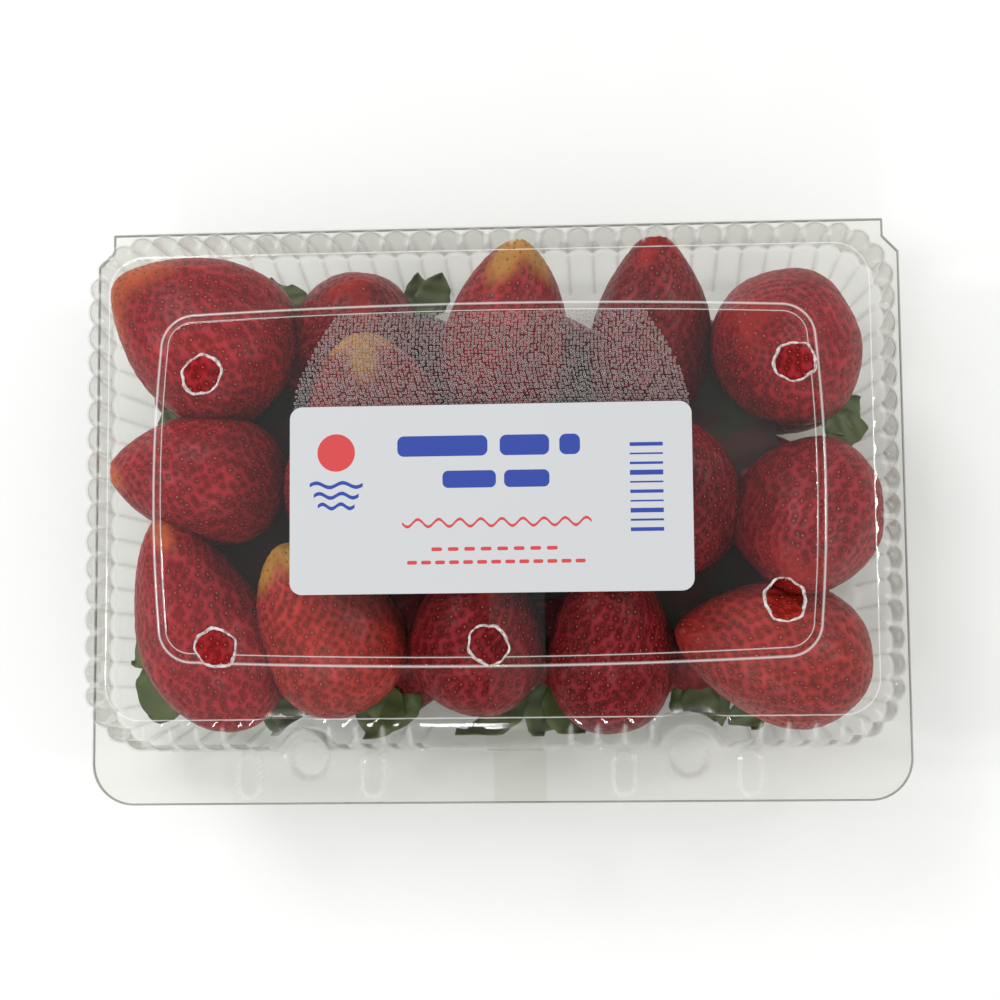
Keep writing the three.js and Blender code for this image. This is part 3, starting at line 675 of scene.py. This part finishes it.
# Strawberries
# Large berries laid side by side over a lower layer: firm glossy fruit, each with its own tone,
# a paler tip and rows of seeds in dimples. UV spheres shaped by a formula and joined by row.
# Each row gives middle x, y, z, heading and rise of the tip, length, width, skin, tip and how
# much of the berry the tip's colour takes.
CRIMSON, RED, ORANGE_RED = "#66060c", "#7c0b10", "#8c1d12"
GREEN_TIP, ORANGE_TIP, RED_TIP = "#a67636", "#a84a24", "#861a15"
# Painted highlight, added to the skin colour on the ridges between the dimples.
RIDGE_HIGHLIGHT = np.array([0.085, 0.016, 0.020])
BERRY_MIDDLE = 0.45
BACK_ROW = [
    (-74, 45, 40, 145, 8, 52, 43, RED, ORANGE_TIP, 0.22),
    (-36, 46, 34, 80, 72, 46, 34, CRIMSON, RED_TIP, 0.10),
    (-31, 25, 34, 95, 50, 52, 36, RED, GREEN_TIP, 0.13),
    (3, 43, 36, 76, 38, 57, 35, RED, GREEN_TIP, 0.15),
    (41, 43, 36, 82, 38, 56, 33, CRIMSON, RED_TIP, 0.10),
    (75, 41, 38, 160, 62, 48, 40, RED, RED_TIP, 0.10)]
MIDDLE_ROW = [
    (-74.5, 8, 42, 175, 2, 47, 35, RED, ORANGE_TIP, 0.10),
    (-37, 3, 38, 120, 60, 48, 35, RED, RED_TIP, 0.10),
    (-3, 8, 37, 30, 65, 48, 36, RED, RED_TIP, 0.10),
    (24, 2, 37, 100, 60, 48, 33, CRIMSON, RED_TIP, 0.10),
    (47, 2, 39, 95, 45, 48, 34, CRIMSON, RED_TIP, 0.10),
    (80, -4, 38, 250, 50, 50, 39, RED, RED_TIP, 0.10)]
FRONT_ROW = [
    (-75, -32, 38, 113, 18, 60, 35, RED, ORANGE_TIP, 0.10),
    (-42.5, -32, 38, 113, 36, 52, 36, ORANGE_RED, GREEN_TIP, 0.15),
    (-5, -34, 37, 85, 50, 48, 35, CRIMSON, RED_TIP, 0.10),
    (30, -37, 37, 90, 45, 53, 34, CRIMSON, RED_TIP, 0.10),
    (73, -38, 37, 165, 25, 54, 38, ORANGE_RED, RED_TIP, 0.10)]
draws = np.random.default_rng(11)
seed_groups = []


def keep_inside(places):
    """Presses places in millimetres against the clear walls where they would pass through."""
    inset = np.interp(places[:, 2], [0.9, 28, 55, 61.5], [8.6, 3.0, 3.0, 8.5])
    reach_x = WALL_HALF_X - inset
    reach_y = (WALL_BACK - WALL_FRONT) / 2 - inset
    middle_y = (WALL_BACK + WALL_FRONT) / 2
    corner = WALL_CORNER - np.minimum(inset, 10)
    local = np.stack([places[:, 0], places[:, 1] - middle_y], 1)
    inner = np.stack([reach_x - corner, reach_y - corner], 1)
    nearest = np.clip(local, -inner, inner)
    away = local - nearest
    far = np.maximum(np.linalg.norm(away, axis=1), 1e-9)
    kept = nearest + away * np.minimum(1, corner / far)[:, None]
    across = np.abs(np.abs(kept[:, 0]) - LATCH_X)
    arc = np.sqrt(np.maximum(0, NOTCH_RADIUS ** 2 - across ** 2))
    notch = np.maximum(0, arc - NOTCH_RADIUS + NOTCH_DEPTH)
    y = np.maximum(kept[:, 1] + middle_y, WALL_FRONT + inset + notch)
    return np.stack([kept[:, 0], y, np.clip(places[:, 2], 1.0, 60.8)], 1)


def berry_surface(berry, lumps, share, turn):
    """Places in millimetres on a berry's skin, at shares of its length and turns round its axis."""
    x, y, z, heading, rise, length, width = berry[:7]
    heading, rise = math.radians(heading), math.radians(rise)
    flat = math.cos(rise)
    axis = np.array([flat * math.cos(heading), flat * math.sin(heading), math.sin(rise)])
    side = np.array([-math.sin(heading), math.cos(heading), 0.0])
    above = np.cross(axis, side)
    share = np.clip(share, 0, 1)
    radius = width / 2 * np.maximum(np.sin(np.pi * share ** 0.72), 0) ** 0.62
    swell = (1 + 0.030 * np.sin(2 * turn + lumps[0]) + 0.022 * np.sin(3 * turn + lumps[1] + 3 * share)
             + 0.014 * np.sin(5 * turn + lumps[2] + 7 * share) + 0.012 * np.sin(11 * share + lumps[3]))
    bend = 0.05 * width * (share - BERRY_MIDDLE) ** 2 * 4
    out = side * np.cos(turn)[:, None] + above * np.sin(turn)[:, None]
    bent = (side * math.cos(lumps[4]) + above * math.sin(lumps[4])) * bend[:, None]
    along = axis * ((share - BERRY_MIDDLE) * length)[:, None]
    return keep_inside(np.array([x, y, z]) + along + out * (radius * swell)[:, None] + bent)


def seed_places(berry, spacing):
    """Shares and turns of the seeds: a golden-angle spiral with an even share of skin for each."""
    length, width = berry[5:7]
    steps = np.linspace(0, 1, 200)
    radius = width / 2 * np.maximum(np.sin(np.pi * steps ** 0.72), 0) ** 0.62
    skin = np.hypot(np.diff(steps) * length, np.diff(radius)) * (radius[1:] + radius[:-1]) * np.pi
    reached = np.concatenate([[0], np.cumsum(skin)])
    count = int(reached[-1] / (spacing ** 2 * 0.87))
    share = np.interp((np.arange(count) + 0.5) / count * reached[-1], reached, steps)
    share = share + draws.normal(0, 0.004, count)
    turn = np.arange(count) * math.pi * (3 - math.sqrt(5)) + draws.normal(0, 0.03, count)
    return np.clip(share, 0.004, 0.992), turn


def add_berry(berry, segments, rings, spacing, dimple):
    """One berry with its skin colours, from a UV sphere; its seeds are kept for later."""
    bpy.ops.mesh.primitive_uv_sphere_add(segments=segments, ring_count=rings, radius=MM)
    made = bpy.context.object
    lumps = draws.uniform(0, 2 * math.pi, 5)
    seed_share, seed_turn = seed_places(berry, spacing)
    seeds = berry_surface(berry, lumps, seed_share, seed_turn)
    seed_tree = kdtree.KDTree(len(seeds))
    for number, seed in enumerate(seeds.tolist()):
        seed_tree.insert(seed, number)
    seed_tree.balance()
    middle = np.array(berry[:3], dtype=float)
    skin, tip = np.array(linear(berry[7])[:3]), np.array(linear(berry[8])[:3])
    tone = draws.uniform(0.9, 1.1)
    colours = []

    def shape(places):
        share = (1 - np.clip(places[:, 2], -1, 1)) / 2
        turn = np.arctan2(places[:, 1], places[:, 0])
        surface = berry_surface(berry, lumps, share, turn)
        gap = np.array([seed_tree.find(point)[2] for point in surface.tolist()])
        pit = np.exp(-(gap / (0.40 * spacing)) ** 2)
        outward = surface - middle
        outward /= np.linalg.norm(outward, axis=1)[:, None]
        ripe = smooth(1 - berry[9] * 1.15, 1 - berry[9] * 0.25, share + 0.05 * np.sin(3 * turn + lumps[0]))
        patch = 1 + 0.10 * np.sin(2 * turn + lumps[2] + 4 * share)
        patch = patch + 0.06 * np.sin(6 * share + 4 * turn + lumps[3])
        # Painted shade darkens each dimple, and a painted highlight lightens the ridges between them.
        colour = skin[None, :] * (tone * patch * (1.15 - 0.6 * pit))[:, None]
        ridge = smooth(0.5, 0.9, 1 - pit)
        colour += ridge[:, None] * RIDGE_HIGHLIGHT
        colours.append(colour + (tip - colour) * ripe[:, None])
        return surface - outward * (pit * dimple)[:, None]

    shape_vertices(made, shape)
    layer = made.data.color_attributes.new("skin", "FLOAT_COLOR", "POINT")
    layer.data.foreach_set("color", np.hstack([colours[0], np.ones((len(colours[0]), 1))]).reshape(-1))
    bpy.ops.object.shade_smooth()
    seed_groups.append((berry, lumps, seed_share, seed_turn, dimple))
    return made


# Fruit skin: dark red dimples in a paler network, from painted shade in the dimples and a painted highlight
# on the ridges; faintly mottled over about 6 mm, soft gloss.
material, tree = new_material("strawberry_skin")
skin_colour = add(tree, "VertexColor", layer_name="skin")
place = add(tree, "TexCoord").outputs["Object"]
mottle = add(tree, "TexNoise", {"Vector": place, "Scale": 160.0, "Detail": 2.0})
shift = add(tree, "MapRange", {"Value": mottle.outputs["Fac"], "From Min": 0.3, "From Max": 0.7,
                               "To Min": 0.82, "To Max": 1.14})
shaded = add(tree, "VectorMath", {
    0: skin_colour.outputs["Color"], 1: shift.outputs[0]}, operation="MULTIPLY")
finish_material(tree, add(tree, "BsdfPrincipled", {
    "Base Color": shaded.outputs[0], "Roughness": 0.34, "Specular IOR Level": 0.1}).outputs[0])
skin_material = material
UPPER_ROWS = [
    ("berries_back_left", BACK_ROW[:3]), ("berries_back_right", BACK_ROW[3:]),
    ("berries_middle", MIDDLE_ROW[:4]), ("berries_right", MIDDLE_ROW[4:]),
    ("berries_front_left", FRONT_ROW[:3]), ("berries_front_right", FRONT_ROW[3:])]
for name, row in UPPER_ROWS:
    fruit = join_all([add_berry(berry, 156, 94, 2.5, 0.38) for berry in row], name)
    fruit.data.materials.append(skin_material)
    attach(fruit, "tray")
    if name == "berries_middle":
        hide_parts("strawberries")


# Lower layer and core
# Smaller berries under the top layer, seen through the gaps and the clear wall, round a dark
# core that stands for the fruit that can't be seen. Coarser spheres of the same kind.
LOWER_X = (-56, -22, 14, 50)
LOWER_INSET = 31
LOWER_Y = (-28, 4, 36)
CORE_INSET, CORE_CORNER, CORE_LOW, CORE_TOP = 29, 12, 2, 32
state = [11]


def draw_number():
    """A seeded number from 0 to 1, by the same rule as the solid model's lower layer."""
    state[0] = state[0] * 16807 % 2147483647
    return state[0] / 2147483647


lower_places = [(x, y) for x in LOWER_X for y in (WALL_FRONT + LOWER_INSET, WALL_BACK - LOWER_INSET)]
lower_places += [(x, y) for y in LOWER_Y for x in (-(WALL_HALF_X - LOWER_INSET), WALL_HALF_X - LOWER_INSET)]
lower = []
for x, y in lower_places:
    draw = [draw_number() for _ in range(5)]
    lower.append((x, y, 17.5 + 1.5 * draw[0], 360 * draw[1], 20 * draw[2] - 10,
                  38 + 4 * draw[3], 31 + 2 * draw[4], CRIMSON, RED_TIP, 0.1))
lower_fruit = join_all([add_berry(berry, 72, 44, 3.2, 0.4) for berry in lower], "berries_lower")
lower_fruit.data.materials.append(skin_material)
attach(lower_fruit, "tray")

core = add_plate(
    "berries_core", 0, (WALL_BACK + WALL_FRONT) / 2, 2 * (WALL_HALF_X - CORE_INSET),
    WALL_BACK - WALL_FRONT - 2 * CORE_INSET, CORE_CORNER, CORE_LOW, CORE_TOP)
# Fruit and leaves in deep shade: dark red patches of about 10 mm among dark green.
material, tree = new_material("shaded_fruit")
place = add(tree, "TexCoord").outputs["Object"]
mottle = add(tree, "TexNoise", {"Vector": place, "Scale": 90.0, "Detail": 2.0})
patch = add(tree, "MapRange", {"Value": mottle.outputs["Fac"], "From Min": 0.42, "From Max": 0.58})
colour = add(tree, "MixRGB", {
    "Fac": patch.outputs[0], "Color1": linear("#3c100e"), "Color2": linear("#23260f")})
finish_material(tree, add(tree, "BsdfPrincipled", {
    "Base Color": colour.outputs[0], "Roughness": 0.7}).outputs[0])
core.data.materials.append(material)
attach(core, "tray")


# Seeds
# Small pink to red-brown drops lying in the dimples, pointing to the tip. Each is one low drop of
# eight faces, turned and set on the skin.
drop_points = np.vstack([np.eye(3), -np.eye(3)])
drop_points[[1, 4], 0] = -0.2
drop_faces = np.array([
    (0, 1, 2), (1, 3, 2), (3, 4, 2), (4, 0, 2), (1, 0, 5), (3, 1, 5), (4, 3, 5), (0, 4, 5)])
SEED_LENGTH, SEED_WIDTH, SEED_THICK = 0.85, 0.5, 0.36
places, shades = [], []
for berry, lumps, share, turn, dimple in seed_groups:
    on_skin = berry_surface(berry, lumps, share, turn)
    toward_tip = berry_surface(berry, lumps, share + 0.01, turn) - on_skin
    toward_tip /= np.maximum(np.linalg.norm(toward_tip, axis=1), 1e-6)[:, None]
    around = berry_surface(berry, lumps, share, turn + 0.05) - on_skin
    outward = np.cross(around, toward_tip)
    outward /= np.maximum(np.linalg.norm(outward, axis=1), 1e-6)[:, None]
    outward *= np.sign((outward * (on_skin - np.array(berry[:3]))).sum(1))[:, None]
    around = np.cross(outward, toward_tip)
    seat = on_skin - outward * dimple * 0.72
    drop = (seat[:, None, :] + toward_tip[:, None, :] * (drop_points[:, 0] * SEED_LENGTH / 2)[None, :, None]
            + around[:, None, :] * (drop_points[:, 1] * SEED_WIDTH / 2)[None, :, None]
            + outward[:, None, :] * (drop_points[:, 2] * SEED_THICK / 2)[None, :, None])
    places.append(drop.reshape(-1, 3))
    shades.append(np.repeat(draws.uniform(0, 1, len(share)) ** 1.6, len(drop_points)))
places = np.concatenate(places)
count = len(places) // len(drop_points)
faces = (drop_faces[None, :, :] + (np.arange(count) * len(drop_points))[:, None, None]).reshape(-1, 3)
seeds_mesh = bpy.data.meshes.new("berry_seeds")
seeds_mesh.from_pydata((places * MM).tolist(), [], faces.tolist())
seeds = bpy.data.objects.new("berry_seeds", seeds_mesh)
bpy.context.collection.objects.link(seeds)
layer = seeds_mesh.color_attributes.new("shade", "FLOAT_COLOR", "POINT")
layer.data.foreach_set("color", np.repeat(np.concatenate(shades), 4).astype(np.float32))
seeds_mesh.polygons.foreach_set("use_smooth", np.ones(len(faces), dtype=bool))
# Dry husk: dull, from dark red-brown to a pinkish tan.
material, tree = new_material("seed_husk")
shade = add(tree, "VertexColor", layer_name="shade")
colour = add(tree, "MixRGB", {
    "Fac": shade.outputs["Color"], "Color1": linear("#4a0f0c"), "Color2": linear("#b86a55")})
finish_material(tree, add(tree, "BsdfPrincipled", {
    "Base Color": colour.outputs[0], "Roughness": 0.4}).outputs[0])
seeds_mesh.materials.append(material)
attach(seeds, "tray")


# Leaves
# Green calyx leaves that stick out between the berries: thin pointed blades that curl down at
# their ends. Grids bent to shape and given a thickness. Each row: x, y, z, heading, length,
# width, fall, number of blades.
LEAVES = [
    (-89, -29, 22, 215, 18, 15, 4, 1), (-86, -38, 20, 243, 19, 16, 3, 1), (-54, -46, 22, 262, 16, 13, 3, 2),
    (-28, -45, 25, 262, 15, 15, 3, 2), (9, -48, 22, 195, 24, 8, 3, 2), (15, -44, 22, 275, 18, 14, 3, 2),
    (52, -44, 22, 275, 16, 13, 3, 2), (64, -50, 18, 285, 12, 10, 2, 1), (86, 20, 28, 25, 14, 10, 2, 2),
    (-81, 26, 26, 180, 12, 10, 2, 1), (-55, 52, 28, 95, 12, 11, 2, 2), (-19, 52, 28, 80, 12, 9, 2, 2)]
blades = []
for x, y, z, heading, length, width, fall, number in LEAVES:
    for blade in range(number):
        spread = math.radians(heading + (blade - (number - 1) / 2) * 30 + draws.uniform(-6, 6))
        long = length * draws.uniform(0.8, 1.1)
        twist = draws.uniform(-0.5, 0.5)
        bpy.ops.mesh.primitive_grid_add(x_subdivisions=14, y_subdivisions=6, size=1)

        def shape_blade(places):
            along = places[:, 0] * MM + 0.5
            across = places[:, 1] * MM * 2
            half = width / 2 * np.sin(np.pi * np.clip(along, 0, 1) ** 0.85) ** 0.7
            half += 0.25 * np.sin(along * 26 + blade)
            forward = along * long
            sideways = across * np.maximum(half, 0.05)
            height = -fall * along ** 2 + 0.9 * across ** 2 * (1 - along) + twist * across * along * width
            height += 0.35 * np.sin(along * 19 + across * 2)
            return keep_inside(np.stack([
                x + forward * math.cos(spread) - sideways * math.sin(spread),
                y + forward * math.sin(spread) + sideways * math.cos(spread), z + height], 1))

        made = bpy.context.object
        shape_vertices(made, shape_blade)
        blades.append(made)
leaves = join_all(blades, "calyx_leaves")
leaf_wall = leaves.modifiers.new("thickness", "SOLIDIFY")
leaf_wall.thickness = 0.35 * MM
bpy.ops.object.modifier_apply(modifier="thickness")
bpy.ops.object.shade_smooth()
# Leaf: matt green, mottled light and dark over about 8 mm.
material, tree = new_material("strawberry_leaf")
place = add(tree, "TexCoord").outputs["Object"]
mottle = add(tree, "TexNoise", {"Vector": place, "Scale": 120.0, "Detail": 3.0})
colour = add(tree, "MixRGB", {
    "Fac": mottle.outputs["Fac"], "Color1": linear("#25340f"), "Color2": linear("#5c6a2a")})
finish_material(tree, add(tree, "BsdfPrincipled", {
    "Base Color": colour.outputs[0], "Roughness": 0.55}).outputs[0])
leaves.data.materials.append(material)
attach(leaves, "tray")


# Fog
# Droplets of mist on the panel's underside, from its back edge down to the label. Low domes of
# water on an even grid that is shaken a little; each is a small ball cut by its flatness.
FOG_LEFT_TOP, FOG_LEFT_LOW, FOG_RIGHT_TOP, FOG_RIGHT_LOW = -36.0, -47.0, 39.0, 49.5
FOG_BACK, FOG_FRONT, FOG_Z = 45.3, 20.0, 68.72
FOG_STEP = 0.86
bpy.ops.mesh.primitive_ico_sphere_add(subdivisions=1, radius=1)
ball = bpy.context.object
ball_places = np.array([vertex.co for vertex in ball.data.vertices])
ball_faces = np.array([face.vertices for face in ball.data.polygons])
bpy.data.objects.remove(ball)
drops = []
for row, y in enumerate(np.arange(FOG_FRONT, FOG_BACK, FOG_STEP * 0.87)):
    down = (FOG_BACK - y) / (FOG_BACK - FOG_FRONT)
    left = FOG_LEFT_TOP + (FOG_LEFT_LOW - FOG_LEFT_TOP) * math.sin(down * math.pi / 2)
    right = FOG_RIGHT_TOP + (FOG_RIGHT_LOW - FOG_RIGHT_TOP) * math.sin(down * math.pi / 2)
    for x in np.arange(left + (row % 2) * FOG_STEP / 2, right, FOG_STEP):
        drops.append((x + draws.normal(0, 0.1), y + draws.normal(0, 0.1), draws.uniform(0.30, 0.44)))
drops = np.array(drops)
scaled = ball_places[None, :, :] * drops[:, None, 2:] * np.array([1, 1, 0.45])
centres = np.stack([drops[:, 0], drops[:, 1], np.full(len(drops), FOG_Z)], 1)
places = (scaled + centres[:, None, :]).reshape(-1, 3)
faces = (ball_faces[None, :, :] + (np.arange(len(drops)) * len(ball_places))[:, None, None]).reshape(-1, 3)
fog_mesh = bpy.data.meshes.new("fog_droplets")
fog_mesh.from_pydata((places * MM).tolist(), [], faces.tolist())
fog = bpy.data.objects.new("fog_droplets", fog_mesh)
bpy.context.collection.objects.link(fog)
fog_mesh.polygons.foreach_set("use_smooth", np.ones(len(faces), dtype=bool))
# Small drops of water: clear in the middle and bright at the rim, where they scatter light.
material, tree = new_material("water_droplets")
facing = add(tree, "LayerWeight", {"Blend": 0.5}).outputs["Facing"]
rim_share = add(tree, "MapRange", {
    "Value": facing, "From Min": 0.05, "From Max": 0.7, "To Min": 0.03, "To Max": 0.5})
clear = add(tree, "BsdfTransparent", {"Color": linear("#eeeaea")})
bright = add(tree, "BsdfDiffuse", {"Color": linear("#e8dfdf")})
finish_material(tree, add(tree, "MixShader", {
    0: rim_share.outputs[0], 1: clear.outputs[0], 2: bright.outputs[0]}).outputs[0])
fog_mesh.materials.append(material)
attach(fog, "lid")


# Hinge
# The thin fold that joins tray and lid along the back edge. A narrow strip curved in a half round.
bpy.ops.mesh.primitive_grid_add(x_subdivisions=60, y_subdivisions=6, size=1)
hinge = bpy.context.object
hinge.name = "hinge_fold"


def shape_hinge(places):
    swing = places[:, 1] * MM * math.pi
    return np.stack([places[:, 0] * MM * 194, 75.9 + 0.6 * np.cos(swing), 28.15 + 0.6 * np.sin(swing)], 1)


shape_vertices(hinge, shape_hinge)
bpy.ops.object.shade_smooth()
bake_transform(hinge)
hinge.data.materials.append(add_clear_plastic("clear_pet_hinge", "#fefefd"))
store_share(hinge, "shine", np.full(len(hinge.data.vertices), 0.02))
